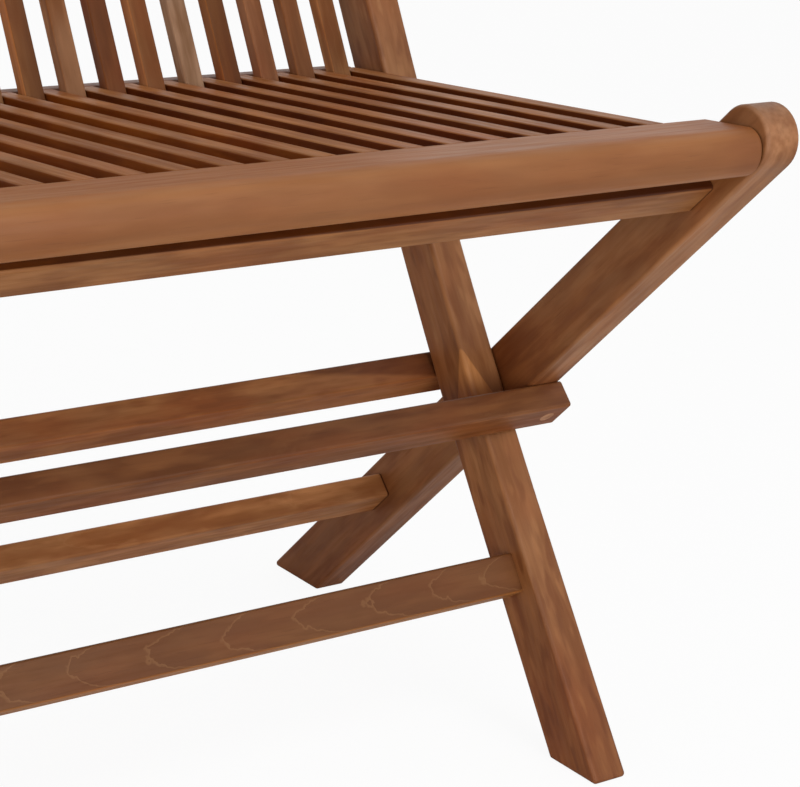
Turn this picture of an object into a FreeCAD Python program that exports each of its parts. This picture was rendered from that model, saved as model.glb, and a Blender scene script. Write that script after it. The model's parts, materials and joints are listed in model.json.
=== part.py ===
import FreeCAD, Part
import math
import os

# A folding teak chair without arms, open and standing on its four feet.
# X runs across the seat, +Y points to the back and +Z up. The origin is on the floor, in the
# middle of the chair's width and depth. The right side is the one at +X. Lengths are in
# millimetres and angles in degrees.
# Two frames cross like an X. The back frame has the two long posts, which run from the front
# feet to the top of the back. The leg frame lies outside it and has the two short legs, which
# run from the rear feet to the front of the seat. The seat turns on the upper ends of these
# legs, and its rear rail lies behind the back slats, which stand in the gaps of the seat.

# Posts and legs
LEG_THICKNESS = 26.0
LEG_EDGE_RADIUS = 2.5
CROSSING_HEIGHT = 214.6
CROSSING_GAP = 1.0
POST_FOOT_WIDTH = 39.8
POST_BEND_WIDTH = 37.3
POST_TOP_WIDTH = 34.1
POST_LOWER_LEAN = 34.6
POST_UPPER_LEAN = 28.8
POST_CORNER_RISE = 80.4
POST_BEND_REACH = 170.0
POST_UPPER_LENGTH = 667.2
LEG_WIDTH = 41.1
LEG_LEAN = 45.5
LEG_HEAD_PAST_PIVOT = 8.7

# Bars across the chair
STRETCHER_HEIGHT = 26.7
STRETCHER_THICKNESS = 18.0
STRETCHER_EDGE_RADIUS = 2.0
FRONT_STRETCHER_DROP = 126.0
FRONT_STRETCHER_SETBACK = 12.0
REAR_STRETCHER_DROP = 163.4
REAR_STRETCHER_SETBACK = 14.0
TOP_STRETCHER_SETBACK = 10.8
STOP_BAR_THICKNESS = 18.8
STOP_CLEARANCE = 0.3
STOP_SETTLING_STEPS = 4
TENON_SHOULDER = 4.0
TENON_LENGTH = 16.0
MORTISE_ROOM = 1.0

# Back
BACK_SLAT_WIDTH = 13.2
BACK_SLAT_DEPTH = 10.0
BACK_SLAT_SETBACK = 9.4
CREST_RAIL_START = 576.2
CREST_RAIL_END_HEIGHT = 54.0
CREST_RAIL_ARCH = 13.0
CREST_RAIL_THICKNESS = 22.0
CREST_RAIL_EDGE_RADIUS = 3.0
BOTTOM_RAIL_HEIGHT = 34.0
BOTTOM_RAIL_THICKNESS = 22.0

# Seat
SEAT_PIVOT_RISE = 296.9
SEAT_TILT = 4.2
SEAT_TOP_ABOVE_PIVOT = 14.2
SEAT_SLAT_COUNT = 16
SEAT_SLAT_PITCH = 28.8
SEAT_SLAT_WIDTH = 13.0
SEAT_SLAT_HEIGHT = 18.0
SEAT_SIDE_CLEARANCE = 6.5
SEAT_REST_CLEARANCE = 0.4
FRONT_RAIL_NOSE = 24.2
FRONT_RAIL_HEEL = 24.8
FRONT_RAIL_HEIGHT = 29.4
FRONT_RAIL_TOP_RADIUS = 12.0
FRONT_RAIL_NOSE_RADIUS = 16.0
FRONT_RAIL_HEEL_RADIUS = 12.0
FRONT_RAIL_TURNING_CLEARANCE = 3.3
REAR_RAIL_DEPTH = 17.0
REAR_RAIL_HEIGHT = 26.0
REAR_RAIL_CLEARANCE = 4.0
REAR_RAIL_LIP_RADIUS = 5.0
RAIL_EDGE_RADIUS = 1.2
SLAT_EDGE_RADIUS = 1.2
SLAT_TENON_WIDTH = 8.0
SLAT_TENON_SHOULDER = 2.0
SLAT_TENON_LENGTH = 10.0

# Bolts, inserts, washers, screws and plugs
BOLT_RADIUS = 4.0
BOLT_RUNNING_CLEARANCE = 0.05
BOLT_HEAD_RADIUS = 8.0
BOLT_HEAD_HEIGHT = 3.5
BOLT_HEAD_EDGE_RADIUS = 1.2
BOLT_HEAD_RECESS = 0.4
BOLT_SOCKET_RADIUS = 2.9
BOLT_SOCKET_DEPTH = 2.4
BOLT_GRIP = 18.0
BOLT_END_ROOM = 1.0
INSERT_WALL = 1.5
WASHER_RADIUS = 10.0
WASHER_THICKNESS = 1.2
WASHER_ROOM = 0.3
SPACER_RADIUS = 11.0
SPACER_PLAY = 0.1
SCREW_RADIUS = 2.2
SCREW_HEAD_RADIUS = 4.2
SCREW_HEAD_HEIGHT = 2.6
SCREW_GRIP = 24.0
PLUG_RADIUS = 5.0
PLUG_DEPTH = 5.0

ACROSS = FreeCAD.Vector(1, 0, 0)
PARALLEL = 0.999
HEX_SIDES = 6


class SideFrame:
    """A leaning frame in the side view: up along a leg or rail, and back square to it."""

    def __init__(self, origin, lean):
        angle = math.radians(lean)
        self.origin = origin
        self.up = FreeCAD.Vector(0, math.sin(angle), math.cos(angle))
        self.back = FreeCAD.Vector(0, math.cos(angle), -math.sin(angle))

    def point(self, up, back, x=0.0):
        return self.origin + self.up * up + self.back * back + ACROSS * x

    def height_of(self, point):
        return (point - self.origin).dot(self.up)

    def depth_of(self, point):
        """How far behind the frame's up axis the point is."""
        return (point - self.origin).dot(self.back)


class Bar:
    """A straight bar across the chair, known by its section in a leaning frame."""

    def __init__(self, frame, low, front, height, thickness):
        self.frame = frame
        self.low = low
        self.high = low + height
        self.front = front
        self.back = front + thickness

    def between(self, x_low, x_high, inset=0.0):
        return block(self.frame, self.low + inset, self.high - inset,
                     self.front + inset, self.back - inset, x_low, x_high)

    def tenons(self, inside):
        """One piece that runs through the bar and stands out of its ends as two tenons."""
        reach = inside + TENON_LENGTH
        return self.between(-reach, reach, TENON_SHOULDER)

    def mortise(self, inside):
        """The pocket in the right post or leg, whose inner face is at the given place."""
        return self.between(inside, inside + TENON_LENGTH + MORTISE_ROOM, TENON_SHOULDER)


def line(start, end):
    return Part.LineSegment(start, end).toShape()


def arc(start, middle, end):
    return Part.Arc(start, middle, end).toShape()


def direction(start, end):
    return (end - start).normalize()


def prism(edges, travel):
    """The flat outline that the edges make, carried along the travel."""
    outline = Part.Wire(Part.__sortEdges__(edges))
    return Part.Face(outline).extrude(travel)


def block(frame, low, high, front, back, x_low, x_high):
    corners = [frame.point(low, front, x_low), frame.point(high, front, x_low),
               frame.point(high, back, x_low), frame.point(low, back, x_low)]
    sides = [line(corners[i - 1], corners[i]) for i in range(len(corners))]
    return prism(sides, ACROSS * (x_high - x_low))


def cylinder(radius, start, end):
    return Part.makeCylinder(radius, (end - start).Length, start, direction(start, end))


def edges_along(solid, axis):
    """The straight edges that run along the axis."""
    straight = [edge for edge in solid.Edges if isinstance(edge.Curve, Part.Line)]
    return [edge for edge in straight if abs(edge.Curve.Direction.dot(axis)) > PARALLEL]


def round_along(solid, radius, axis):
    return solid.makeFillet(radius, edges_along(solid, axis))


def round_corner(solid, radius, corner):
    """Round the edge across the chair that passes nearest to the corner."""
    nearest = min(edges_along(solid, ACROSS), key=lambda edge: edge.distToShape(Part.Vertex(corner))[0])
    return solid.makeFillet(radius, [nearest])


def round_ends(solid, radius):
    """Round the rims of a bar's two end faces."""
    ends = [face for face in solid.Faces if abs(face.normalAt(0, 0).dot(ACROSS)) > PARALLEL]
    return solid.makeFillet(radius, [edge for face in ends for edge in face.Edges])


def join(first, second):
    return first.fuse(second).removeSplitter()


def cut_all(solid, tools):
    for tool in tools:
        solid = solid.cut(tool)
    return solid


def mirrored(solid):
    return solid.mirror(FreeCAD.Vector(0, 0, 0), ACROSS)


def pair(solids):
    """Solids of the right side with their mirror images, as one group."""
    return Part.makeCompound(solids + [mirrored(solid) for solid in solids])


# Places across the chair, from its middle to the right side
slat_span = (SEAT_SLAT_COUNT - 1) * SEAT_SLAT_PITCH
seat_half_width = (slat_span + SEAT_SLAT_WIDTH) / 2
post_inside = seat_half_width + SEAT_SIDE_CLEARANCE
post_outside = post_inside + LEG_THICKNESS
leg_inside = post_outside + CROSSING_GAP
leg_outside = leg_inside + LEG_THICKNESS
leg_middle = (leg_inside + leg_outside) / 2
seat_slat_places = [i * SEAT_SLAT_PITCH - slat_span / 2 for i in range(SEAT_SLAT_COUNT)]
back_slat_places = [x + SEAT_SLAT_PITCH / 2 for x in seat_slat_places[:-1]]

# The leaning frames in the side view
crossing = FreeCAD.Vector(0, 0, CROSSING_HEIGHT)
post_low = SideFrame(crossing, POST_LOWER_LEAN)
post_corner = post_low.point(POST_CORNER_RISE, 0)
post_high = SideFrame(post_corner, POST_UPPER_LEAN)
leg = SideFrame(crossing, -LEG_LEAN)
seat_pivot = leg.point(SEAT_PIVOT_RISE, 0)
seat = SideFrame(seat_pivot, SEAT_TILT)

# Where the back slats, the seat and the rails meet
slat_front = BACK_SLAT_SETBACK - POST_TOP_WIDTH / 2
slat_back = slat_front + BACK_SLAT_DEPTH
slat_middle = (slat_front + slat_back) / 2
seat_underside = SEAT_TOP_ABOVE_PIVOT - SEAT_SLAT_HEIGHT


def rise_to_seat_level(level, depth):
    """How far up the back, at the given depth in it, a level of the seat is met."""
    start = seat.height_of(post_high.point(0, depth))
    rate = post_high.up.dot(seat.up)
    return (level - start) / rate


bottom_rail_front = slat_middle - BOTTOM_RAIL_THICKNESS / 2
bottom_rail_top = rise_to_seat_level(seat_underside, bottom_rail_front) - SEAT_REST_CLEARANCE
hook_depth = slat_back + REAR_RAIL_CLEARANCE
hook = post_high.point(rise_to_seat_level(SEAT_TOP_ABOVE_PIVOT, hook_depth), hook_depth)
rear_rail_start = seat.depth_of(hook)

# The bars, with the rail of the seat setting how close the top stretcher may come
heel_centre_drop = FRONT_RAIL_HEIGHT - SEAT_TOP_ABOVE_PIVOT - FRONT_RAIL_HEEL_RADIUS
heel_centre_reach = math.hypot(FRONT_RAIL_HEEL - FRONT_RAIL_HEEL_RADIUS, heel_centre_drop)
rail_sweep = max(FRONT_RAIL_NOSE, heel_centre_reach + FRONT_RAIL_HEEL_RADIUS)
top_stretcher_high = SEAT_PIVOT_RISE - rail_sweep - FRONT_RAIL_TURNING_CLEARANCE
top_stretcher = Bar(leg, top_stretcher_high - STRETCHER_HEIGHT, TOP_STRETCHER_SETBACK - LEG_WIDTH / 2,
                    STRETCHER_HEIGHT, STRETCHER_THICKNESS)
rear_stretcher = Bar(leg, -REAR_STRETCHER_DROP - STRETCHER_HEIGHT / 2, REAR_STRETCHER_SETBACK - LEG_WIDTH / 2,
                     STRETCHER_HEIGHT, STRETCHER_THICKNESS)
front_stretcher = Bar(post_low, -FRONT_STRETCHER_DROP - STRETCHER_HEIGHT / 2,
                      FRONT_STRETCHER_SETBACK - POST_BEND_WIDTH / 2, STRETCHER_HEIGHT, STRETCHER_THICKNESS)
bottom_rail = Bar(post_high, bottom_rail_top - BOTTOM_RAIL_HEIGHT, bottom_rail_front,
                  BOTTOM_RAIL_HEIGHT, BOTTOM_RAIL_THICKNESS)
crest_rail = Bar(post_high, CREST_RAIL_START, slat_middle - CREST_RAIL_THICKNESS / 2,
                 CREST_RAIL_END_HEIGHT, CREST_RAIL_THICKNESS)


def floor_point(frame, depth):
    """Where a line along the frame, so far behind its middle, meets the floor."""
    on_line = frame.point(0, depth)
    return on_line - frame.up * (on_line.z / frame.up.z)


def post_edge(side):
    """The front (-1) or back (1) edge of a post: straight, a long slight bend, straight."""
    foot = floor_point(post_low, side * POST_FOOT_WIDTH / 2)
    bend_start = post_low.point(POST_CORNER_RISE - POST_BEND_REACH, side * POST_BEND_WIDTH / 2)
    bend_end = post_high.point(POST_BEND_REACH, side * POST_TOP_WIDTH / 2)
    head = post_high.point(POST_UPPER_LENGTH, side * POST_TOP_WIDTH / 2)
    handle = (bend_end - bend_start).Length / 3
    bend = Part.BezierCurve()
    bend.setPoles([bend_start, bend_start + direction(foot, bend_start) * handle,
                   bend_end - post_high.up * handle, bend_end])
    return [line(foot, bend_start), bend.toShape(), line(bend_end, head)]


def stop_start(side):
    """How far from the crossing, along the leg, a stop bar starts so that the post just misses it."""
    edge = Part.Compound(post_edge(side))
    room = STRETCHER_EDGE_RADIUS + STOP_CLEARANCE
    start = POST_BEND_WIDTH / 2
    for _ in range(STOP_SETTLING_STEPS):
        corner = leg.point(-side * (start + STRETCHER_EDGE_RADIUS), side * (LEG_WIDTH / 2 + STRETCHER_EDGE_RADIUS))
        start += room - Part.Vertex(corner).distToShape(edge)[0]
    return start


# The stop bars lie on the legs' front and back edges, where the crossing posts come to rest
front_stop = Bar(leg, stop_start(-1), -LEG_WIDTH / 2 - STOP_BAR_THICKNESS, STRETCHER_HEIGHT, STOP_BAR_THICKNESS)
back_stop = Bar(leg, -stop_start(1) - STRETCHER_HEIGHT, LEG_WIDTH / 2, STRETCHER_HEIGHT, STOP_BAR_THICKNESS)

# Bolts are set in the leg's outer face and screwed into the part inside it
washer_seat = leg_outside - BOLT_HEAD_RECESS - BOLT_HEAD_HEIGHT - WASHER_THICKNESS
insert_radius = BOLT_RADIUS + INSERT_WALL


def bolt(centre):
    """A bolt with a low round head and a hexagon socket."""
    head_start = washer_seat + WASHER_THICKNESS
    head_end = head_start + BOLT_HEAD_HEIGHT
    shank = cylinder(BOLT_RADIUS, centre + ACROSS * (post_outside - BOLT_GRIP), centre + ACROSS * head_start)
    head = cylinder(BOLT_HEAD_RADIUS, centre + ACROSS * head_start, centre + ACROSS * head_end)
    circles = [edge for edge in head.Edges if isinstance(edge.Curve, Part.Circle)]
    head = head.makeFillet(BOLT_HEAD_EDGE_RADIUS, [max(circles, key=lambda edge: edge.CenterOfMass.x)])
    turns = [math.tau * i / HEX_SIDES for i in range(HEX_SIDES)]
    rim_points = [centre + FreeCAD.Vector(head_end, BOLT_SOCKET_RADIUS * math.cos(turn),
                                          BOLT_SOCKET_RADIUS * math.sin(turn)) for turn in turns]
    sides = [line(rim_points[i - 1], rim_points[i]) for i in range(HEX_SIDES)]
    return join(shank, head).cut(prism(sides, ACROSS * -BOLT_SOCKET_DEPTH))


def ring(centre, inner_radius, outer_radius, x_low, x_high):
    outer = cylinder(outer_radius, centre + ACROSS * x_low, centre + ACROSS * x_high)
    return outer.cut(cylinder(inner_radius, centre + ACROSS * x_low, centre + ACROSS * x_high))


def insert(centre):
    """The threaded sleeve that holds a bolt, set in flush with the inner piece's outer face."""
    return ring(centre, BOLT_RADIUS, insert_radius, post_outside - BOLT_GRIP, post_outside)


def insert_bore(centre):
    depth = BOLT_GRIP + BOLT_END_ROOM
    return cylinder(insert_radius, centre + ACROSS * (post_outside - depth), centre + ACROSS * post_outside)


def washer(centre):
    bore = BOLT_RADIUS + BOLT_RUNNING_CLEARANCE
    return ring(centre, bore, WASHER_RADIUS, washer_seat, washer_seat + WASHER_THICKNESS)


def spacer(centre):
    bore = BOLT_RADIUS + BOLT_RUNNING_CLEARANCE
    return ring(centre, bore, SPACER_RADIUS, post_outside + SPACER_PLAY, leg_inside)


def bolt_bores(centre):
    """The hole through the right leg and the wider hole that takes the washer and the head."""
    through = cylinder(BOLT_RADIUS + BOLT_RUNNING_CLEARANCE, centre + ACROSS * leg_inside,
                       centre + ACROSS * leg_outside)
    pocket = cylinder(WASHER_RADIUS + WASHER_ROOM, centre + ACROSS * washer_seat, centre + ACROSS * leg_outside)
    return [through, pocket]


def stop_screw_line(bar, side):
    """Where a stop bar's screw goes in, and which way: side 1 is the back bar, -1 the front."""
    face = bar.back if side > 0 else bar.front
    return leg.point((bar.low + bar.high) / 2, face, leg_middle), leg.back * -side


def stop_plug(bar, side):
    start, way = stop_screw_line(bar, side)
    return cylinder(PLUG_RADIUS, start, start + way * PLUG_DEPTH)


def stop_screw(bar, side):
    start, way = stop_screw_line(bar, side)
    head_start = start + way * PLUG_DEPTH
    head_end = head_start + way * SCREW_HEAD_HEIGHT
    tip = start + way * (STOP_BAR_THICKNESS + SCREW_GRIP)
    return join(cylinder(SCREW_HEAD_RADIUS, head_start, head_end), cylinder(SCREW_RADIUS, head_end, tip))


def post():
    head = [post_high.point(POST_UPPER_LENGTH, -POST_TOP_WIDTH / 2),
            post_high.point(POST_UPPER_LENGTH + POST_TOP_WIDTH / 2, 0),
            post_high.point(POST_UPPER_LENGTH, POST_TOP_WIDTH / 2)]
    foot = line(floor_point(post_low, -POST_FOOT_WIDTH / 2), floor_point(post_low, POST_FOOT_WIDTH / 2))
    solid = prism(post_edge(-1) + [arc(*head)] + post_edge(1) + [foot], ACROSS * LEG_THICKNESS)
    solid.translate(ACROSS * post_inside)
    solid = solid.makeFillet(LEG_EDGE_RADIUS, solid.Edges)
    mortises = [bar.mortise(post_inside) for bar in (front_stretcher, bottom_rail, crest_rail)]
    return cut_all(solid, mortises + [insert_bore(crossing)])


def outer_leg():
    half = LEG_WIDTH / 2
    length = SEAT_PIVOT_RISE + LEG_HEAD_PAST_PIVOT
    head = [leg.point(length, -half), leg.point(length + half, 0), leg.point(length, half)]
    foot = [floor_point(leg, -half), floor_point(leg, half)]
    outline = [line(foot[0], head[0]), arc(*head), line(head[2], foot[1]), line(foot[1], foot[0])]
    solid = prism(outline, ACROSS * LEG_THICKNESS)
    solid.translate(ACROSS * leg_inside)
    solid = solid.makeFillet(LEG_EDGE_RADIUS, solid.Edges)
    tools = [bar.mortise(leg_inside) for bar in (top_stretcher, rear_stretcher)]
    tools += bolt_bores(crossing) + bolt_bores(seat_pivot)
    tools += [stop_screw(front_stop, -1), stop_screw(back_stop, 1)]
    return cut_all(solid, tools)


def tenoned_bar(bar, inside):
    body = round_along(bar.between(-inside, inside), STRETCHER_EDGE_RADIUS, ACROSS)
    return join(body, bar.tenons(inside))


def stop_bar(bar, side):
    body = round_along(bar.between(-leg_outside, leg_outside), STRETCHER_EDGE_RADIUS, ACROSS)
    body = round_ends(body, RAIL_EDGE_RADIUS)
    holes = [stop_plug(bar, side), stop_screw(bar, side)]
    return cut_all(body, holes + [mirrored(hole) for hole in holes])


def back_slat_tenon(x):
    """The slat's thinner core, which stands out of both ends as a tenon."""
    return block(post_high, bottom_rail.high - SLAT_TENON_LENGTH, crest_rail.low + SLAT_TENON_LENGTH,
                 slat_front + SLAT_TENON_SHOULDER, slat_back - SLAT_TENON_SHOULDER,
                 x - SLAT_TENON_WIDTH / 2, x + SLAT_TENON_WIDTH / 2)


def back_slat(x):
    body = block(post_high, bottom_rail.high, crest_rail.low, slat_front, slat_back,
                 x - BACK_SLAT_WIDTH / 2, x + BACK_SLAT_WIDTH / 2)
    return join(round_along(body, SLAT_EDGE_RADIUS, post_high.up), back_slat_tenon(x))


def arched_crest_rail():
    """The top rail, whose upper edge rises in an arc to the middle."""
    bar = crest_rail
    peak = post_high.point(bar.high + CREST_RAIL_ARCH, bar.front)
    corners = [post_high.point(bar.low, bar.front, -post_inside), post_high.point(bar.low, bar.front, post_inside),
               post_high.point(bar.high, bar.front, post_inside), post_high.point(bar.high, bar.front, -post_inside)]
    outline = [line(corners[0], corners[1]), line(corners[1], corners[2]),
               arc(corners[2], peak, corners[3]), line(corners[3], corners[0])]
    body = prism(outline, post_high.back * CREST_RAIL_THICKNESS)
    rims = edges_along(body, ACROSS) + [edge for edge in body.Edges if isinstance(edge.Curve, Part.Circle)]
    body = body.makeFillet(CREST_RAIL_EDGE_RADIUS, rims)
    return cut_all(join(body, bar.tenons(post_inside)), [back_slat_tenon(x) for x in back_slat_places])


def back_bottom_rail():
    return cut_all(tenoned_bar(bottom_rail, post_inside), [back_slat_tenon(x) for x in back_slat_places])


def seat_slat_tenon(x):
    return block(seat, seat_underside + SLAT_TENON_SHOULDER, SEAT_TOP_ABOVE_PIVOT - SLAT_TENON_SHOULDER,
                 FRONT_RAIL_HEEL - SLAT_TENON_LENGTH, rear_rail_start + SLAT_TENON_LENGTH,
                 x - SLAT_TENON_WIDTH / 2, x + SLAT_TENON_WIDTH / 2)


def seat_slat(x):
    body = block(seat, seat_underside, SEAT_TOP_ABOVE_PIVOT, FRONT_RAIL_HEEL, rear_rail_start,
                 x - SEAT_SLAT_WIDTH / 2, x + SEAT_SLAT_WIDTH / 2)
    return join(round_along(body, SLAT_EDGE_RADIUS, seat.back), seat_slat_tenon(x))


def seat_front_rail():
    low = SEAT_TOP_ABOVE_PIVOT - FRONT_RAIL_HEIGHT
    body = block(seat, low, SEAT_TOP_ABOVE_PIVOT, -FRONT_RAIL_NOSE, FRONT_RAIL_HEEL, -post_outside, post_outside)
    body = round_corner(body, FRONT_RAIL_TOP_RADIUS, seat.point(SEAT_TOP_ABOVE_PIVOT, -FRONT_RAIL_NOSE))
    body = round_corner(body, FRONT_RAIL_NOSE_RADIUS, seat.point(low, -FRONT_RAIL_NOSE))
    body = round_corner(body, FRONT_RAIL_HEEL_RADIUS, seat.point(low, FRONT_RAIL_HEEL))
    body = round_corner(body, RAIL_EDGE_RADIUS, seat.point(SEAT_TOP_ABOVE_PIVOT, FRONT_RAIL_HEEL))
    body = round_ends(body, RAIL_EDGE_RADIUS)
    bore = insert_bore(seat_pivot)
    return cut_all(body, [seat_slat_tenon(x) for x in seat_slat_places] + [bore, mirrored(bore)])


def seat_rear_rail():
    low = SEAT_TOP_ABOVE_PIVOT - REAR_RAIL_HEIGHT
    end = rear_rail_start + REAR_RAIL_DEPTH
    body = block(seat, low, SEAT_TOP_ABOVE_PIVOT, rear_rail_start, end, -seat_half_width, seat_half_width)
    body = round_corner(body, REAR_RAIL_LIP_RADIUS, seat.point(SEAT_TOP_ABOVE_PIVOT, rear_rail_start))
    for up, back in ((low, rear_rail_start), (low, end), (SEAT_TOP_ABOVE_PIVOT, end)):
        body = round_corner(body, STRETCHER_EDGE_RADIUS, seat.point(up, back))
    body = round_ends(body, RAIL_EDGE_RADIUS)
    return cut_all(body, [seat_slat_tenon(x) for x in seat_slat_places])


parts = {}

right_post = post()
parts["back_post_right"] = right_post
parts["back_post_left"] = mirrored(right_post)
parts["crest_rail"] = arched_crest_rail()
parts["back_bottom_rail"] = back_bottom_rail()
parts["front_lower_stretcher"] = tenoned_bar(front_stretcher, post_inside)
for number, x in enumerate(back_slat_places, start=1):
    parts["back_slat_%02d" % number] = back_slat(x)

right_leg = outer_leg()
parts["outer_leg_right"] = right_leg
parts["outer_leg_left"] = mirrored(right_leg)
parts["under_seat_stretcher"] = tenoned_bar(top_stretcher, leg_inside)
parts["rear_lower_stretcher"] = tenoned_bar(rear_stretcher, leg_inside)
parts["front_stop_bar"] = stop_bar(front_stop, -1)
parts["back_stop_bar"] = stop_bar(back_stop, 1)
parts["stop_bar_screws"] = pair([stop_screw(front_stop, -1), stop_screw(back_stop, 1)])
parts["stop_bar_plugs"] = pair([stop_plug(front_stop, -1), stop_plug(back_stop, 1)])

parts["seat_front_rail"] = seat_front_rail()
parts["seat_rear_rail"] = seat_rear_rail()
for number, x in enumerate(seat_slat_places, start=1):
    parts["seat_slat_%02d" % number] = seat_slat(x)

for name, centre in (("crossing", crossing), ("seat_pivot", seat_pivot)):
    parts[name + "_bolts"] = pair([bolt(centre)])
    parts[name + "_inserts"] = pair([insert(centre)])
    parts[name + "_washers"] = pair([washer(centre)])
    parts[name + "_spacers"] = pair([spacer(centre)])

os.makedirs("parts", exist_ok=True)
box = Part.makeCompound(list(parts.values())).optimalBoundingBox(False, False)
to_middle = FreeCAD.Vector(0, -(box.YMin + box.YMax) / 2, 0)
for name, shape in parts.items():
    shape.translate(to_middle)
    shape.exportStep("parts/" + name + ".step")

print("size", round(box.XLength, 2), round(box.YLength, 2), round(box.ZLength, 2), "nodes", len(parts))
for name, place in (("crossing", crossing), ("seat pivot", seat_pivot)):
    print(name, [round(value, 4) for value in (place + to_middle)])
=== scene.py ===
# %% [markdown]
# # A folding teak chair
# This lesson dresses a finished wooden chair. Its boards, bolts and joints come as a fixed frame
# and stay as they are, so the work here is the wood itself, the light and the camera. Teak is
# told from other woods by its figure: soft streaks along the grain, growth rings that cross some
# boards as long arches, thin dark pores, and boards that differ in tone because they were cut
# from different trees. A picture of wood could be wrapped round each board, but it would repeat,
# and break at the edges. Noise in three dimensions was chosen instead: it runs through a board
# and meets at its edges, as real grain does.

# %% Load the frame
import json
import math
import random

import bpy
from mathutils import Matrix, Vector


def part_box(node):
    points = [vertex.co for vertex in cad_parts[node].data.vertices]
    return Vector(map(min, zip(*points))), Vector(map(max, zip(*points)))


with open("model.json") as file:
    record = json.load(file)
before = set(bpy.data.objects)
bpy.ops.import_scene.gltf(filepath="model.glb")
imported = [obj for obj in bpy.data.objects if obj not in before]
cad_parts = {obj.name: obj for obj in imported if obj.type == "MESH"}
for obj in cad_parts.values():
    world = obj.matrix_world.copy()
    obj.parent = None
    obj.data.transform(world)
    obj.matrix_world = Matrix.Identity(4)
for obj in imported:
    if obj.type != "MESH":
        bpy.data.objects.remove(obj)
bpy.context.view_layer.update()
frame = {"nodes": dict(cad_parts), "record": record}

# %% [markdown]
# ## Camera
# The chair was seen from its front left, from a little above, with a long lens, which keeps the
# slats nearly parallel. A camera could also be aimed at an object by a constraint, but that would
# leave out its roll. So it is placed by where it stands and by the three turns a tripod head has:
# turned to the right, tipped down, and rolled a little.

# %% Camera
CAMERA_PLACE = Vector((-0.748, -1.3069, 0.7133))
CAMERA_TURN = math.radians(37.025)
CAMERA_TIP = math.radians(17.655)
CAMERA_ROLL = math.radians(-3.363)
CAMERA_LENS = 111.5
SENSOR_WIDTH = 36


def camera_axes(turn, tip, roll):
    """The camera's right, up and back axes: +Y is ahead before it is turned."""
    ahead = Vector((math.sin(turn) * math.cos(tip), math.cos(turn) * math.cos(tip), -math.sin(tip)))
    level_right = Vector((math.cos(turn), -math.sin(turn), 0))
    level_up = level_right.cross(ahead)
    right = level_right * math.cos(roll) - level_up * math.sin(roll)
    return right, right.cross(ahead), -ahead


def add_camera():
    data = bpy.data.cameras.new("camera")
    data.lens = CAMERA_LENS
    data.sensor_width = SENSOR_WIDTH
    camera = bpy.data.objects.new("camera", data)
    axes = Matrix(camera_axes(CAMERA_TURN, CAMERA_TIP, CAMERA_ROLL)).transposed()
    camera.matrix_world = Matrix.Translation(CAMERA_PLACE) @ axes.to_4x4()
    bpy.context.scene.collection.objects.link(camera)
    bpy.context.scene.camera = camera


add_camera()
print("camera at", tuple(CAMERA_PLACE), "lens", CAMERA_LENS, "mm")

# %% [markdown]
# ## Helpers for node trees
# Every finish below is a tree of shader nodes. Such a tree can be drawn by hand in the shader
# editor, but written down it can be read, repeated and changed in one place. These helpers keep
# each node on one line: what kind it is, the values typed into its sockets and the sockets that
# feed it.

# %% Node helpers
MIX_FACTOR, MIX_FIRST, MIX_SECOND, MIX_RESULT = 0, 6, 7, 2  # sockets of a Mix node for colours


def add_node(tree, kind, values=None, links=None, **settings):
    """A node of the kind, with its settings, its socket values and its incoming links."""
    node = tree.nodes.new("ShaderNode" + kind)
    for name, value in settings.items():
        setattr(node, name, value)
    for name, value in (values or {}).items():
        node.inputs[name].default_value = value
    for name, source in (links or {}).items():
        tree.links.new(source, node.inputs[name])
    return node


def put(tree, value, socket):
    """Feed a socket from another socket, or type a plain value into it."""
    if isinstance(value, bpy.types.NodeSocket):
        tree.links.new(value, socket)
    else:
        socket.default_value = value


def calculate(tree, operation, first, second, kind="Math"):
    """An operation on two numbers. Each is a socket or a plain value."""
    node = add_node(tree, kind, operation=operation)
    put(tree, first, node.inputs[0])
    put(tree, second, node.inputs[1])
    return node.outputs[0]


def combine(tree, operation, first, second):
    """The same for two vectors."""
    return calculate(tree, operation, first, second, "VectorMath")


def mix_colours(tree, factor, first, second, blend="MIX"):
    """Two colours mixed by a factor. Each of the three is a socket or a plain value."""
    node = add_node(tree, "Mix", data_type="RGBA", blend_type=blend)
    put(tree, factor, node.inputs[MIX_FACTOR])
    put(tree, first, node.inputs[MIX_FIRST])
    put(tree, second, node.inputs[MIX_SECOND])
    return node.outputs[MIX_RESULT]


def spread(tree, source, low, high, to_low=0.0, to_high=1.0):
    """The source's range from low to high, stretched smoothly to the new range."""
    values = {"From Min": low, "From Max": high, "To Min": to_low}
    node = add_node(tree, "MapRange", values, {"Value": source}, interpolation_type="SMOOTHSTEP")
    put(tree, to_high, node.inputs["To Max"])
    return node.outputs["Result"]


def new_material(name):
    material = bpy.data.materials.new(name)
    material.use_nodes = True
    return material, material.node_tree, material.node_tree.nodes["Principled BSDF"]


# %% [markdown]
# ## White room
# A product photograph on white has soft light from all round and a background without a corner.
# A white backdrop would need so much light that the chair would be washed out. So the world has
# two strengths: a modest one that lights the chair, and plain white for what the camera sees and
# for what shiny things mirror. The Standard view shows each colour as it is written.

# %% White room
WHITE = (1, 1, 1, 1)
ROOM_LIGHT = 0.42
ROOM_SEEN = 1.0


def camera_sees(tree):
    """A value that is 1 for rays that come straight from the camera."""
    return add_node(tree, "LightPath").outputs["Is Camera Ray"]


def light_room():
    world = bpy.data.worlds.new("white room")
    world.use_nodes = True
    tree = world.node_tree
    background = tree.nodes["Background"]
    background.inputs["Color"].default_value = WHITE
    glossy = add_node(tree, "LightPath").outputs["Is Glossy Ray"]
    white = calculate(tree, "MAXIMUM", camera_sees(tree), glossy)
    strength = spread(tree, white, 0, 1, ROOM_LIGHT, ROOM_SEEN)
    tree.links.new(strength, background.inputs["Strength"])
    bpy.context.scene.world = world


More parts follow.
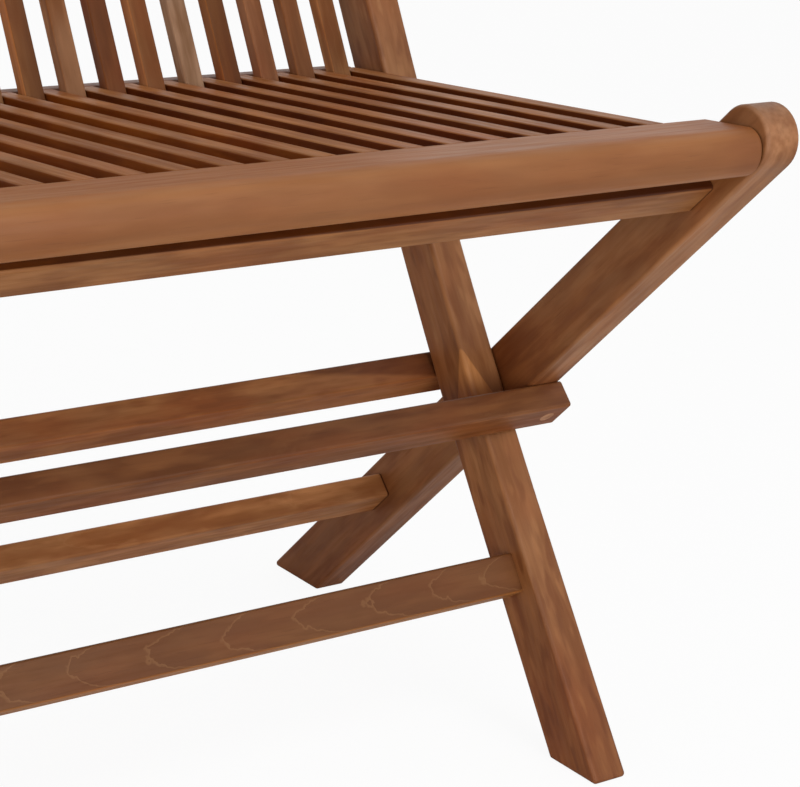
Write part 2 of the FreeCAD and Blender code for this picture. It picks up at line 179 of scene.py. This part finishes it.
light_room()
bpy.context.scene.view_settings.view_transform = "Standard"
print("room light", ROOM_LIGHT, "seen as", ROOM_SEEN)

# %% [markdown]
# ## Floor
# The floor is as white as the background, yet it has to take the chair's shadow. A floor that
# only glows would take none, and a plain matte one would look grey. Most of what the camera sees
# of this one glows, and the rest is matte and takes the shadow.

# %% Floor
FLOOR_SIZE = 30.0
FLOOR_GREY = (0.75, 0.75, 0.75, 1)
FLOOR_ROUGHNESS = 0.9
FLOOR_GLOW = 0.9
GLOW_STRENGTH = 1.03


def add_floor():
    half = FLOOR_SIZE / 2
    mesh = bpy.data.meshes.new("floor")
    corners = [(-half, -half, 0), (half, -half, 0), (half, half, 0), (-half, half, 0)]
    mesh.from_pydata(corners, [], [(0, 1, 2, 3)])
    floor = bpy.data.objects.new("floor", mesh)
    bpy.context.scene.collection.objects.link(floor)
    material, tree, matte = new_material("pale floor")
    matte.inputs["Base Color"].default_value = FLOOR_GREY
    matte.inputs["Roughness"].default_value = FLOOR_ROUGHNESS
    glow = add_node(tree, "Emission", {"Strength": GLOW_STRENGTH})
    share = calculate(tree, "MULTIPLY", camera_sees(tree), FLOOR_GLOW)
    mix = add_node(tree, "MixShader", links={0: share, 1: matte.outputs[0], 2: glow.outputs[0]})
    tree.links.new(mix.outputs[0], tree.nodes["Material Output"].inputs["Surface"])
    mesh.materials.append(material)


add_floor()
print("floor", FLOOR_SIZE, "m across")

# %% [markdown]
# ## Lamps
# The wood is brightest on what looks up and forward, and its shadows are soft. One sun lamp would
# draw them hard, so large discs stand in for a studio's soft boxes: a key lamp in front and above,
# a low one in front for the faces that look down, and one at the left, which stands for a white
# wall and reaches the inner faces of the legs but not the gaps of the seat.

# %% Lamps
def add_lamp(name, place, target, size, power):
    """A disc of light that faces its target: size in metres across, power in watts."""
    data = bpy.data.lights.new(name, "AREA")
    data.shape = "DISK"
    data.size = size
    data.energy = power
    lamp = bpy.data.objects.new(name, data)
    lamp.location = place
    lamp.rotation_euler = (Vector(place) - Vector(target)).to_track_quat("Z", "Y").to_euler()
    bpy.context.scene.collection.objects.link(lamp)
    print(name, power, "W")


add_lamp("key lamp", place=(0.3, -2.6, 3.0), target=(0, 0, 0.4), size=2.2, power=46)
add_lamp("front lamp", place=(0.0, -2.6, 0.4), target=(0, 0, 0.3), size=1.4, power=26)
add_lamp("left lamp", place=(-2.5, -1.3, 0.6), target=(0, 0, 0.4), size=1.6, power=19)

# %% [markdown]
# ## The colours of teak
# Teak is golden to reddish brown, and one board holds many tones of it: light and dark streaks,
# redder and greyer patches, burnt-looking flames, pale lines between the growth rings, and pores
# that are nearly black. One brown with random brightness would look like painted wood, so each
# tone has a colour of its own, and the nodes mix them.

# %% Colours of the wood
TEAK_DEEP = (0.08, 0.022, 0.005, 1)
TEAK_DARK = (0.165, 0.055, 0.015, 1)
TEAK_MID = (0.25, 0.092, 0.031, 1)
TEAK_LIGHT = (0.34, 0.145, 0.058, 1)
TEAK_RED = (0.26, 0.075, 0.022, 1)
TEAK_BURNT = (0.15, 0.044, 0.012, 1)
TEAK_GREY = (0.27, 0.128, 0.06, 1)
TEAK_PALE = (0.42, 0.21, 0.105, 1)

# %% [markdown]
# ## Noise along the grain
# A tree changes quickly from its bark to its heart and slowly along its trunk, so every mark in
# the wood is much longer than it is wide. Each could be drawn as a stroke, one by one. Noise that
# is read at a place whose length along the grain was shortened comes out drawn out, and lets each
# kind of mark have its own stretch.

# %% Noise along the grain
NOISE_ROUGHNESS = 0.55
NOISE_MIDDLE = (0.5, 0.5, 0.5)
WANDER = 0.0045


def grain_noise(tree, place, scale, detail, stretch):
    """Noise with marks that are longer along Z, the grain, by the stretch."""
    drawn_out = combine(tree, "MULTIPLY", place, (1, 1, 1 / stretch))
    values = {"Scale": scale, "Detail": detail, "Roughness": NOISE_ROUGHNESS}
    return add_node(tree, "TexNoise", values, {"Vector": drawn_out})


def wandering(tree, place):
    """Grain isn't ruled: it wanders sideways by a few millimetres over a hand's length."""
    bend = grain_noise(tree, place, scale=9.0, detail=1.0, stretch=1.6).outputs["Color"]
    centred = combine(tree, "SUBTRACT", bend, NOISE_MIDDLE)
    small = combine(tree, "MULTIPLY", centred, (WANDER, WANDER, 0))
    return combine(tree, "ADD", place, small)


# %% [markdown]
# ## Streaks, patches and flames
# Broad and fine streaks make up most of the figure, and some boards have few of them. Larger,
# softer clouds make redder and greyer patches, and some boards have short dark and light flames.
# Each kind could be a texture of its own in each material. Here each is one noise, cut off
# smoothly between two levels, and how much of it a board has comes in through a socket.

# %% Streaks, patches and flames
BROAD_LEVELS = (0.34, 0.66)
FINE_LEVELS = (0.42, 0.72)
FINE_SHARE = 0.55
CLOUD_LEVELS = (0.4, 0.66)
DARK_FLAME_LEVELS = (0.5, 0.68)
LIGHT_FLAME_LEVELS = (0.42, 0.28)


def streaked(tree, board, place, fine):
    """Broad and fine streaks. Where a board has few, the colour is an even brown."""
    broad = grain_noise(tree, place, scale=80.0, detail=2.5, stretch=5).outputs["Fac"]
    colour = mix_colours(tree, spread(tree, broad, *BROAD_LEVELS), TEAK_LIGHT, TEAK_DARK)
    even = calculate(tree, "SUBTRACT", 1.0, board["Streaks"])
    colour = mix_colours(tree, even, colour, TEAK_MID)
    share = spread(tree, fine, *FINE_LEVELS, 0.0, FINE_SHARE)
    share = calculate(tree, "MULTIPLY", share, board["Streaks"])
    return mix_colours(tree, share, colour, TEAK_DARK)


def patched(tree, board, place, colour):
    """Redder and greyer patches, and then short flames, darker and lighter."""
    cloud = grain_noise(tree, place, scale=34.0, detail=2.0, stretch=3).outputs["Color"]
    clouds = add_node(tree, "SeparateColor", links={"Color": cloud}).outputs
    flame = grain_noise(tree, place, scale=130.0, detail=1.5, stretch=4).outputs["Fac"]
    marks = ((clouds[0], CLOUD_LEVELS, "Redness", TEAK_RED),
             (clouds[1], CLOUD_LEVELS, "Greyness", TEAK_GREY),
             (flame, DARK_FLAME_LEVELS, "Flames", TEAK_BURNT),
             (flame, LIGHT_FLAME_LEVELS, "Flames", TEAK_LIGHT))
    for noise, levels, amount, tone in marks:
        colour = mix_colours(tree, spread(tree, noise, *levels, 0.0, board[amount]), colour, tone)
    return colour


# %% [markdown]
# ## Growth rings
# Growth rings are nested tubes about the heart of the tree, which lies beside the board and a
# little askew. Where a face runs nearly along a ring, the rings come out as long arches. Arches
# could be drawn face by face, but they would not meet at an edge. Rings about a heart do, and
# only the heart's place and lean differ from board to board. Each ring darkens slowly to its late
# wood, and the next one begins with a thin pale line.

# %% Growth rings
RING_WIDTH = 0.0034
RING_AT_SCALE_ONE = math.tau / 20  # how wide the Wave node makes a ring at a scale of 1
RING_SHAPE = {"Distortion": 1.2, "Detail": 2.0, "Detail Scale": 1.4, "Detail Roughness": 0.6}
LATE_WOOD_LEVELS = (0.6, 1.0)
LATE_WOOD_SHARE = 0.35
PALE_LINE_LEVELS = (0.08, 0.02)


def ringed(tree, board, colour):
    """Late wood and a pale line in each ring, as strong as the board's Rings say."""
    values = {"Scale": RING_AT_SCALE_ONE / RING_WIDTH, **RING_SHAPE}
    place = wandering(tree, board["Heart Place"])
    ring = add_node(tree, "TexWave", values, {"Vector": place}, wave_type="RINGS",
                    rings_direction="Z", wave_profile="SAW").outputs["Fac"]
    late = spread(tree, ring, *LATE_WOOD_LEVELS, 0.0, board["Rings"])
    share = calculate(tree, "MULTIPLY", late, LATE_WOOD_SHARE)
    colour = mix_colours(tree, share, colour, TEAK_DARK)
    line = spread(tree, ring, *PALE_LINE_LEVELS, 0.0, board["Rings"])
    return mix_colours(tree, line, colour, TEAK_PALE)


# %% [markdown]
# ## The figure as one group
# All boards share this figure. Each could hold a copy of its nodes, but one group does the work
# for all, so that a board only says where it lies in its tree and how light, red and streaked it
# is. Pores come last: short dark hairs, a little sunk. The fine streaks also make the surface a
# little rougher here and smoother there.

# %% The group that makes the figure
PORE_LEVELS = (0.6, 0.72)
PORE_SHARE = 0.16
SHEEN_LEVELS = (0.3, 0.7)
TEAK_ROUGHNESS = (0.42, 0.56)


def add_sockets(tree, direction, kind, *names):
    for name in names:
        tree.interface.new_socket(name, in_out=direction, socket_type="NodeSocket" + kind)


def figure_group():
    """From a place in the board, with Z along the grain, to colour, roughness and height."""
    tree = bpy.data.node_groups.new("teak figure", "ShaderNodeTree")
    add_sockets(tree, "INPUT", "Vector", "Place", "Heart Place")
    add_sockets(tree, "INPUT", "Float", "Redness", "Greyness", "Streaks", "Flames", "Rings")
    add_sockets(tree, "INPUT", "Color", "Tone")
    add_sockets(tree, "OUTPUT", "Color", "Colour")
    add_sockets(tree, "OUTPUT", "Float", "Roughness", "Height")
    board = tree.nodes.new("NodeGroupInput").outputs
    result = tree.nodes.new("NodeGroupOutput").inputs

    place = wandering(tree, board["Place"])
    fine = grain_noise(tree, place, scale=280.0, detail=2.5, stretch=14).outputs["Fac"]
    fibre = grain_noise(tree, place, scale=1200.0, detail=2.0, stretch=30).outputs["Fac"]
    pore = spread(tree, fibre, *PORE_LEVELS)

    colour = streaked(tree, board, place, fine)
    colour = patched(tree, board, place, colour)
    colour = ringed(tree, board, colour)
    share = calculate(tree, "MULTIPLY", pore, PORE_SHARE)
    colour = mix_colours(tree, share, colour, TEAK_DEEP)
    colour = mix_colours(tree, 1.0, colour, board["Tone"], "MULTIPLY")
    tree.links.new(colour, result["Colour"])
    roughness = spread(tree, fine, *SHEEN_LEVELS, *TEAK_ROUGHNESS)
    tree.links.new(roughness, result["Roughness"])
    tree.links.new(calculate(tree, "SUBTRACT", fine, pore), result["Height"])
    return tree


FIGURE = figure_group()
print("figure nodes", len(FIGURE.nodes))

# %% [markdown]
# ## Feet, patches and joint lines
# Some tones belong to a place on the chair and not to the tree: feet that have drawn up water, the
# thin dark line where a bar enters a leg or a post, and painted light and painted shade on some
# faces and bands.
# They could be painted on each face by hand. Here each is a share, worked out from the place in
# the board, which says how far another tone is mixed in, and so it goes round an edge by itself.
# A patch is what lies past one or more planes, so it can be a face, a band or a wedge.

# %% Feet, patches and joint lines
FOOT_TONE = (0.72, 0.6, 0.5, 1)
FOOT_REACH = 0.2
CRISP = 0.0007
JOINT_LINE = 0.0008


def height_of(tree, place):
    """The third part of a place: height in the chair, or the distance along a board's grain."""
    return add_node(tree, "SeparateXYZ", links={"Vector": place}).outputs["Z"]


def darker_feet(tree, place, colour):
    """Wood near the ground has drawn up water and dirt."""
    share = spread(tree, height_of(tree, place), 0.0, FOOT_REACH, 1.0, 0.0)
    return mix_colours(tree, share, colour, FOOT_TONE, "MULTIPLY")


def toned_patch(tree, board, colour, planes, tone, soft=CRISP):
    """Another tone past a few planes. Each is a direction and a distance from the middle."""
    share = 1.0
    for *normal, reach in planes:
        along = add_node(tree, "VectorMath", links={0: board}, operation="DOT_PRODUCT")
        along.inputs[1].default_value = normal
        past = spread(tree, along.outputs["Value"], reach - soft, reach)
        share = calculate(tree, "MULTIPLY", share, past)
    return mix_colours(tree, share, colour, (*tone, 1), "MULTIPLY")


def joint_lines(tree, board, half_body, colour):
    """Where a bar meets the wood it is let into, its rounded edge leaves a thin dark line."""
    along = calculate(tree, "ABSOLUTE", height_of(tree, board), 0.0)
    line = spread(tree, along, half_body - 2 * JOINT_LINE, half_body - JOINT_LINE)
    return mix_colours(tree, line, colour, TEAK_DEEP)


# %% [markdown]
# ## Where a board lies in its tree
# No two boards of a real chair show the same figure. A board could be told apart by a colour
# alone, but its streaks would still repeat from slat to slat. So a Mapping node moves each board
# to another place in the noise, and a second one puts the tree's heart beside it. Both are drawn
# at random from the board's own seed, so that every run gives the same chair.

# %% Where a board lies in its tree
NOISE_REACH = 5
HEART_AWAY = (0.04, 0.08)
HEART_LEAN = 0.03


def in_its_tree(tree, board, seed, heart):
    """The board's place in the noise, and its place about the heart of the tree."""
    draw = random.Random(seed)
    shift = [draw.uniform(-NOISE_REACH, NOISE_REACH) for _ in range(3)]
    bearing = draw.uniform(0, math.tau)
    away = draw.uniform(*HEART_AWAY)
    leans = (draw.uniform(-HEART_LEAN, HEART_LEAN), draw.uniform(-HEART_LEAN, HEART_LEAN))
    across, tilt = heart or ((away * math.cos(bearing), away * math.sin(bearing)), leans)
    moved = add_node(tree, "Mapping", {"Location": shift}, {"Vector": board})
    values = {"Location": (*across, 0), "Rotation": (*tilt, 0)}
    about_heart = add_node(tree, "Mapping", values, {"Vector": board})
    return {"Place": moved.outputs[0], "Heart Place": about_heart.outputs[0]}


# %% [markdown]
# ## One teak material for each board
# A single material would run its grain one way through the whole chair, while each real board has
# its grain along its length. So each board gets its own small material. A Mapping node in texture
# mode turns the object's coordinates into the board's own frame, with Z along its grain, whichever
# way it points. The figure, the patches and the joint lines all start from there, and the feet from
# the height in the chair.

# %% Teak for one board
TEAK_GLOSS = 0.25
BUMP_STRENGTH = 0.2
PORE_DEPTH = 0.00025


def teak(name, middle, turn, seed, tone, red=0.35, grey=0.35, streaks=0.75, flames=0.0,
         rings=0.08, heart=None, foot=False, patches=(), half_body=0.0, gloss=TEAK_GLOSS):
    """Teak for one board: its middle, the turn that takes +Z to its grain, and how it is coloured.

    The heart is how far the tree's middle is off across the board, and its two leans. The patches
    are of other tones, and half the board's length between its joints gives the joint lines."""
    material, tree, shader = new_material(name)
    place = add_node(tree, "TexCoord").outputs["Object"]
    board = add_node(tree, "Mapping", {"Location": middle, "Rotation": turn.to_euler("XYZ")},
                     {"Vector": place}, vector_type="TEXTURE").outputs[0]
    amounts = {"Redness": red, "Greyness": grey, "Streaks": streaks, "Flames": flames,
               "Rings": rings, "Tone": (*tone, 1)}
    figure = add_node(tree, "Group", amounts, in_its_tree(tree, board, seed, heart),
                      node_tree=FIGURE).outputs
    colour = figure["Colour"]
    if foot:
        colour = darker_feet(tree, place, colour)
    for patch in patches:
        colour = toned_patch(tree, board, colour, **patch)
    if half_body:
        colour = joint_lines(tree, board, half_body, colour)
    relief = add_node(tree, "Bump", {"Strength": BUMP_STRENGTH, "Distance": PORE_DEPTH},
                      {"Height": figure["Height"]})
    tree.links.new(colour, shader.inputs["Base Color"])
    tree.links.new(figure["Roughness"], shader.inputs["Roughness"])
    tree.links.new(relief.outputs[0], shader.inputs["Normal"])
    shader.inputs["Specular IOR Level"].default_value = gloss
    return material


# %% [markdown]
# ## Which way each board's grain runs
# Grain runs along a board, because a joiner cuts it so for strength. It could be found from the
# longest side of each board's box, but the posts, legs and slats lean, and a box doesn't show
# that. So the leans of the frame are named here. A lean is how far the top of a piece stands back
# from upright: the seat slats lie nearly flat. The bars lie across the chair, with their faces
# leaning as the frame that holds them.

# %% Grain directions
POST_LEAN = math.radians(31.7)
POST_FOOT_LEAN = math.radians(34.6)
LEG_LEAN = math.radians(-45.5)
BACK_LEAN = math.radians(28.8)
SEAT_LEAN = math.radians(94.2)


def upright_turn(lean):
    """Takes +Z to a direction that leans back in the side view."""
    return Matrix.Rotation(-lean, 3, "X")


def across_turn(lean):
    """Takes +Z to the chair's width, with the board's faces leaning as the frame that holds it."""
    return Matrix.Rotation(-lean, 3, "X") @ Matrix.Rotation(math.pi / 2, 3, "Y")


GRAIN_TURNS = {
    "back_post": upright_turn(POST_LEAN),
    "outer_leg": upright_turn(LEG_LEAN),
    "back_slat": upright_turn(BACK_LEAN),
    "seat_slat": upright_turn(SEAT_LEAN),
    "front_lower": across_turn(POST_FOOT_LEAN),
    "under_seat": across_turn(LEG_LEAN),
    "rear_lower": across_turn(LEG_LEAN),
    "front_stop": across_turn(LEG_LEAN),
    "back_stop": across_turn(LEG_LEAN),
    "crest_rail": across_turn(BACK_LEAN),
    "back_bottom": across_turn(BACK_LEAN),
    "seat_front": across_turn(SEAT_LEAN),
    "seat_rear": across_turn(SEAT_LEAN),
}
slots = {part["node"]: part["material_slot"] for part in frame["record"]["subparts"]}
teak_nodes = sorted(node for node, slot in slots.items() if slot == "teak")
print("teak boards", len(teak_nodes))

# %% [markdown]
# ## Boards that stand out
# Boards of one chair come from several trees, and a few stand out, such as a pale streaked slat in
# the back. Chance wouldn't put them in the right places, so these are set by name. A board isn't
# even either: painted light makes some of its faces lighter, and painted shade darkens others and
# the wood near where the frames cross. The front rail's painted shadow lies on the bar below it,
# and a paler wedge lies above the crossing. Such patches are cut out of the board by planes in its
# own frame.

# %% Boards that stand out
BOARD_TONES_AND_PAINTED_LIGHT = {
    "back_slat_07": dict(tone=(0.59, 0.52, 0.39), red=0.5),
    "back_slat_08": dict(tone=(1.01, 1.02, 1.05), grey=0.6),
    "back_slat_09": dict(tone=(0.52, 0.38, 0.26), red=0.9),
    "back_slat_10": dict(tone=(0.7, 0.69, 0.59), red=0.9),
    "back_slat_11": dict(tone=(1.01, 1.32, 1.9), grey=0.9, red=0.0),
    "back_slat_12": dict(tone=(0.5, 0.38, 0.24), grey=0.7),
    "back_slat_13": dict(tone=(0.82, 0.74, 0.73), red=0.7),
    "back_slat_14": dict(tone=(0.7, 0.63, 0.54), red=0.4),
    "front_lower_stretcher": dict(
        tone=(0.55, 0.5, 0.37), rings=0.45, red=0.3, grey=0.2, streaks=0.4,
        heart=((0.0, 0.06), (0.07, 0.0)),
        patches=[  # painted light from below on its lower face
            dict(planes=[(1, 0, 0, 0.0133)], tone=(2.5, 2.8, 2.7), soft=0.0012)]),
    "front_stop_bar": dict(
        tone=(0.6, 0.52, 0.4), red=0.5, flames=0.3,
        patches=[  # painted light on its front face, which looks down and forward
            dict(planes=[(0, -1, 0, 0.0094)], tone=(1.35, 1.3, 1.1))]),
    "back_stop_bar": dict(
        tone=(1.2, 1.12, 0.92), red=0.5, flames=0.4,
        patches=[  # painted light on its front face, and painted shade near its right end by the post
            dict(planes=[(0, -1, 0, 0.0094)], tone=(1.42, 1.33, 1.04)),
            dict(planes=[(0, 0.987, 0.159, 0.0296)], tone=(0.5, 0.4, 0.3), soft=0.004)]),
    # lighter all over, as the board's own tone and as painted light from below on its faces, which
    # look down and forward
    "rear_lower_stretcher": dict(tone=(1.63, 1.62, 1.4), red=0.2, flames=0.4),
    "under_seat_stretcher": dict(
        tone=(1.04, 1.02, 0.82), red=0.4, flames=0.3,
        patches=[  # painted shadow of the front rail on the back part of its upper face
            dict(planes=[(-1, 0, 0, 0.0129), (0, 1, 0.0054, -0.0081)], tone=(0.3, 0.18, 0.06))]),
    "seat_front_rail": dict(
        tone=(0.87, 0.84, 0.75), red=0.2, grey=0.15, streaks=0.2, rings=0.0,
        patches=[  # painted light on its rounded top and on the flat of the top, painted light from below on its rounded underside, and its darker right end
            dict(planes=[(0, -1, 0, 0.0147)], tone=(1.4, 1.5, 1.5), soft=0.01),
            dict(planes=[(0, -1, 0, 0.0143)], tone=(1.06, 0.97, 0.83), soft=0.001),
            dict(planes=[(0, 1, 0, 0.0147)], tone=(1.5, 1.52, 1.26), soft=0.009),
            dict(planes=[(0, 0, 1, 0.25)], tone=(0.86, 0.8, 0.78), soft=0.03)]),
    "seat_rear_rail": dict(tone=(1.0, 0.85, 0.7), grey=0.1),
    "back_post_right": dict(
        tone=(1.06, 1.09, 1.05), red=0.45, grey=0.2, streaks=0.6, flames=0.6,
        patches=[  # painted light on its inner face, painted shade in a band at the crossing, and a paler wedge above it
            dict(planes=[(-1, 0, 0, 0.013)], tone=(1.1, 1.03, 0.9)),
            dict(planes=[(0, 0, -1, 0.262), (0, 0, 1, -0.262)], tone=(0.55, 0.42, 0.34), soft=0.03),
            dict(planes=[(-0.746, -0.59, -0.309, 0.0725), (0, 0, 1, -0.272)],
                 tone=(1.65, 1.7, 1.55))]),
    "outer_leg_right": dict(
        tone=(1.2, 1.22, 1.2), red=0.15, grey=0.6, streaks=0.7, flames=0.3,
        patches=[  # painted shade on its inner face and at the crossing, and a greyer head
            dict(planes=[(-1, 0, 0, 0.013)], tone=(0.94, 0.84, 0.68)),
            dict(planes=[(0, 0, -1, -0.03), (0, 0, 1, -0.02)], tone=(0.7, 0.58, 0.48), soft=0.05),
            dict(planes=[(0, 0, 1, 0.3)], tone=(0.9, 0.94, 1.06), soft=0.02)]),
}
print("boards that stand out", len(BOARD_TONES_AND_PAINTED_LIGHT))

# %% [markdown]
# ## Slats
# The thin slats show two faces each. The sides of the back slats are lighter than their fronts, and
# the seat slats are lighter on top, with their sides in shade that deepens towards the right. Light
# alone could make that difference, but it would also change every other board, so here too a patch
# past a plane gives each slat its second tone: painted light on the sides of the back slats and on
# the tops of the seat slats, and painted shade on the sides of the seat slats. The slats shine less
# than the frame.

# %% Slats
SLAT_GLOSS = 0.12
BACK_SLAT_TONE = (0.82, 0.84, 0.77)
BACK_SLAT_SIDE = 0.0066
# painted light: how much lighter the sides of the back slats are drawn, for most slats and for a
# few by name
BACK_SIDE_PAINTED_LIGHT = 1.5
BACK_SIDE_PAINTED_LIGHTS = {"back_slat_07": 3.0, "back_slat_10": 2.3, "back_slat_12": 2.5, "back_slat_15": 2.1}
SEAT_SLAT_TOP = 0.0085
SEAT_SLAT_EDGE = 0.0003
# painted light on the tops of the seat slats, and painted shade on their sides, deeper from the
# ninth slat on
SEAT_TOP_PAINTED_LIGHT = (1.27, 1.2, 1.0)
SEAT_SIDE_PAINTED_SHADE = (0.95, 0.56, 0.16)
DEEP_SIDE_PAINTED_SHADE = (0.5, 0.24, 0.06)
FIRST_DARK_SLAT = 9


def back_slat_look(node, tone):
    """A back slat's tone, and painted light that makes its side lighter."""
    side = BACK_SIDE_PAINTED_LIGHTS.get(node, BACK_SIDE_PAINTED_LIGHT)
    return dict(tone=[part * share for part, share in zip(tone, BACK_SLAT_TONE)],
                streaks=1.0, gloss=SLAT_GLOSS,
                patches=[dict(planes=[(-1, 0, 0, BACK_SLAT_SIDE)], tone=(side, side, side))])


def seat_slat_look(node, tone):
    """A seat slat with painted shade on its sides and painted light on its top. It varies half as
    much as other boards.
    """
    side = DEEP_SIDE_PAINTED_SHADE if int(node[-2:]) >= FIRST_DARK_SLAT else SEAT_SIDE_PAINTED_SHADE
    top = [above / beside for above, beside in zip(SEAT_TOP_PAINTED_LIGHT, side)]
    return dict(tone=[(1 + part) / 2 * share for part, share in zip(tone, side)],
                gloss=SLAT_GLOSS,
                patches=[dict(planes=[(0, -1, 0, SEAT_SLAT_TOP)], tone=top, soft=SEAT_SLAT_EDGE)])


# %% [markdown]
# ## Colour every board
# All other boards differ by chance, within the narrow range that a maker who sorts the wood would
# leave. A node that is random for each object could do that. Here each board's numbers are drawn
# in the script from one fixed seed, so that every run gives the same chair and the table above
# can overrule them by name. The feet and the bars with joint lines are told by their names too.

# %% Colour every board
TONE_SEED = 11
LIGHT_RANGE = (0.88, 1.12)
WARMTH = 0.05
RED_RANGE = (0.1, 0.5)
BAR_TENON = 0.016
TENONED_BARS = ("under_seat", "rear_lower", "back_bottom", "crest_rail")
FOOTED = ("back_post", "outer_leg")


def grain_turn(node):
    return next(turn for start, turn in GRAIN_TURNS.items() if node.startswith(start))


def middle_of(node):
    low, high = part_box(node)
    return (low + high) / 2


def half_between_joints(node):
    """Half a bar's length between the pieces it is let into: it lies across the chair."""
    low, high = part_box(node)
    return (high.x - low.x) / 2 - BAR_TENON


def assign(node, material):
    mesh = frame["nodes"][node].data
    mesh.materials.clear()
    mesh.materials.append(material)


tones = random.Random(TONE_SEED)
for seed, node in enumerate(teak_nodes):
    light = tones.uniform(*LIGHT_RANGE)
    warmth = tones.uniform(-WARMTH, WARMTH)
    tone = [light * (1 + warmth), light, light * (1 - warmth)]
    look = {"tone": tone, "red": tones.uniform(*RED_RANGE), "foot": node.startswith(FOOTED)}
    if node.startswith("back_slat"):
        look.update(back_slat_look(node, tone))
    if node.startswith("seat_slat"):
        look.update(seat_slat_look(node, tone))
    if node.startswith(TENONED_BARS):
        look["half_body"] = half_between_joints(node)
    look.update(BOARD_TONES_AND_PAINTED_LIGHT.get(node, {}))
    assign(node, teak(node + "_teak", middle_of(node), grain_turn(node), seed, **look))
print("boards coloured", len(teak_nodes))

# %% [markdown]
# ## Steel
# The bolts, washers and sleeves are satin stainless steel. A flat grey would look like plastic:
# what makes steel is that it mirrors the room, a little blurred. The fine marks of turning are
# too small to model, so noise in the roughness stands for them.

# %% Steel
STEEL_GREY = (0.62, 0.61, 0.58, 1)
MARKS_SCALE = 900.0
MARKS_DETAIL = 3.0
MARKS_LEVELS = (0.3, 0.7)
STEEL_ROUGHNESS = (0.28, 0.42)


def steel(name):
    material, tree, shader = new_material(name)
    shader.inputs["Base Color"].default_value = STEEL_GREY
    shader.inputs["Metallic"].default_value = 1.0
    place = add_node(tree, "TexCoord").outputs["Object"]
    values = {"Scale": MARKS_SCALE, "Detail": MARKS_DETAIL}
    marks = add_node(tree, "TexNoise", values, {"Vector": place}).outputs["Fac"]
    roughness = spread(tree, marks, *MARKS_LEVELS, *STEEL_ROUGHNESS)
    tree.links.new(roughness, shader.inputs["Roughness"])
    return material


STEEL = steel("satin steel")
steel_nodes = sorted(node for node, slot in slots.items() if slot == "steel")
for node in steel_nodes:
    assign(node, STEEL)
print("steel pieces", len(steel_nodes))

# %% [markdown]
# ## Plugs
# Wooden plugs cover the screws of the stop bars. They are cut from a lighter piece of the same
# wood. They could share the bar's material, but then the grain would run on through them and they
# would vanish. So they get teak of their own, with a quarter turn and a lighter tone.

# %% Plugs
PLUG_TONE = (1.6, 1.8, 2.0)
PLUG_TURN = upright_turn(LEG_LEAN + math.pi / 2)
PLUG_SEED = 77

assign("stop_bar_plugs",
       teak("plug_teak", middle_of("stop_bar_plugs"), PLUG_TURN, PLUG_SEED, PLUG_TONE))
print("plugs at", tuple(round(part, 3) for part in middle_of("stop_bar_plugs")))
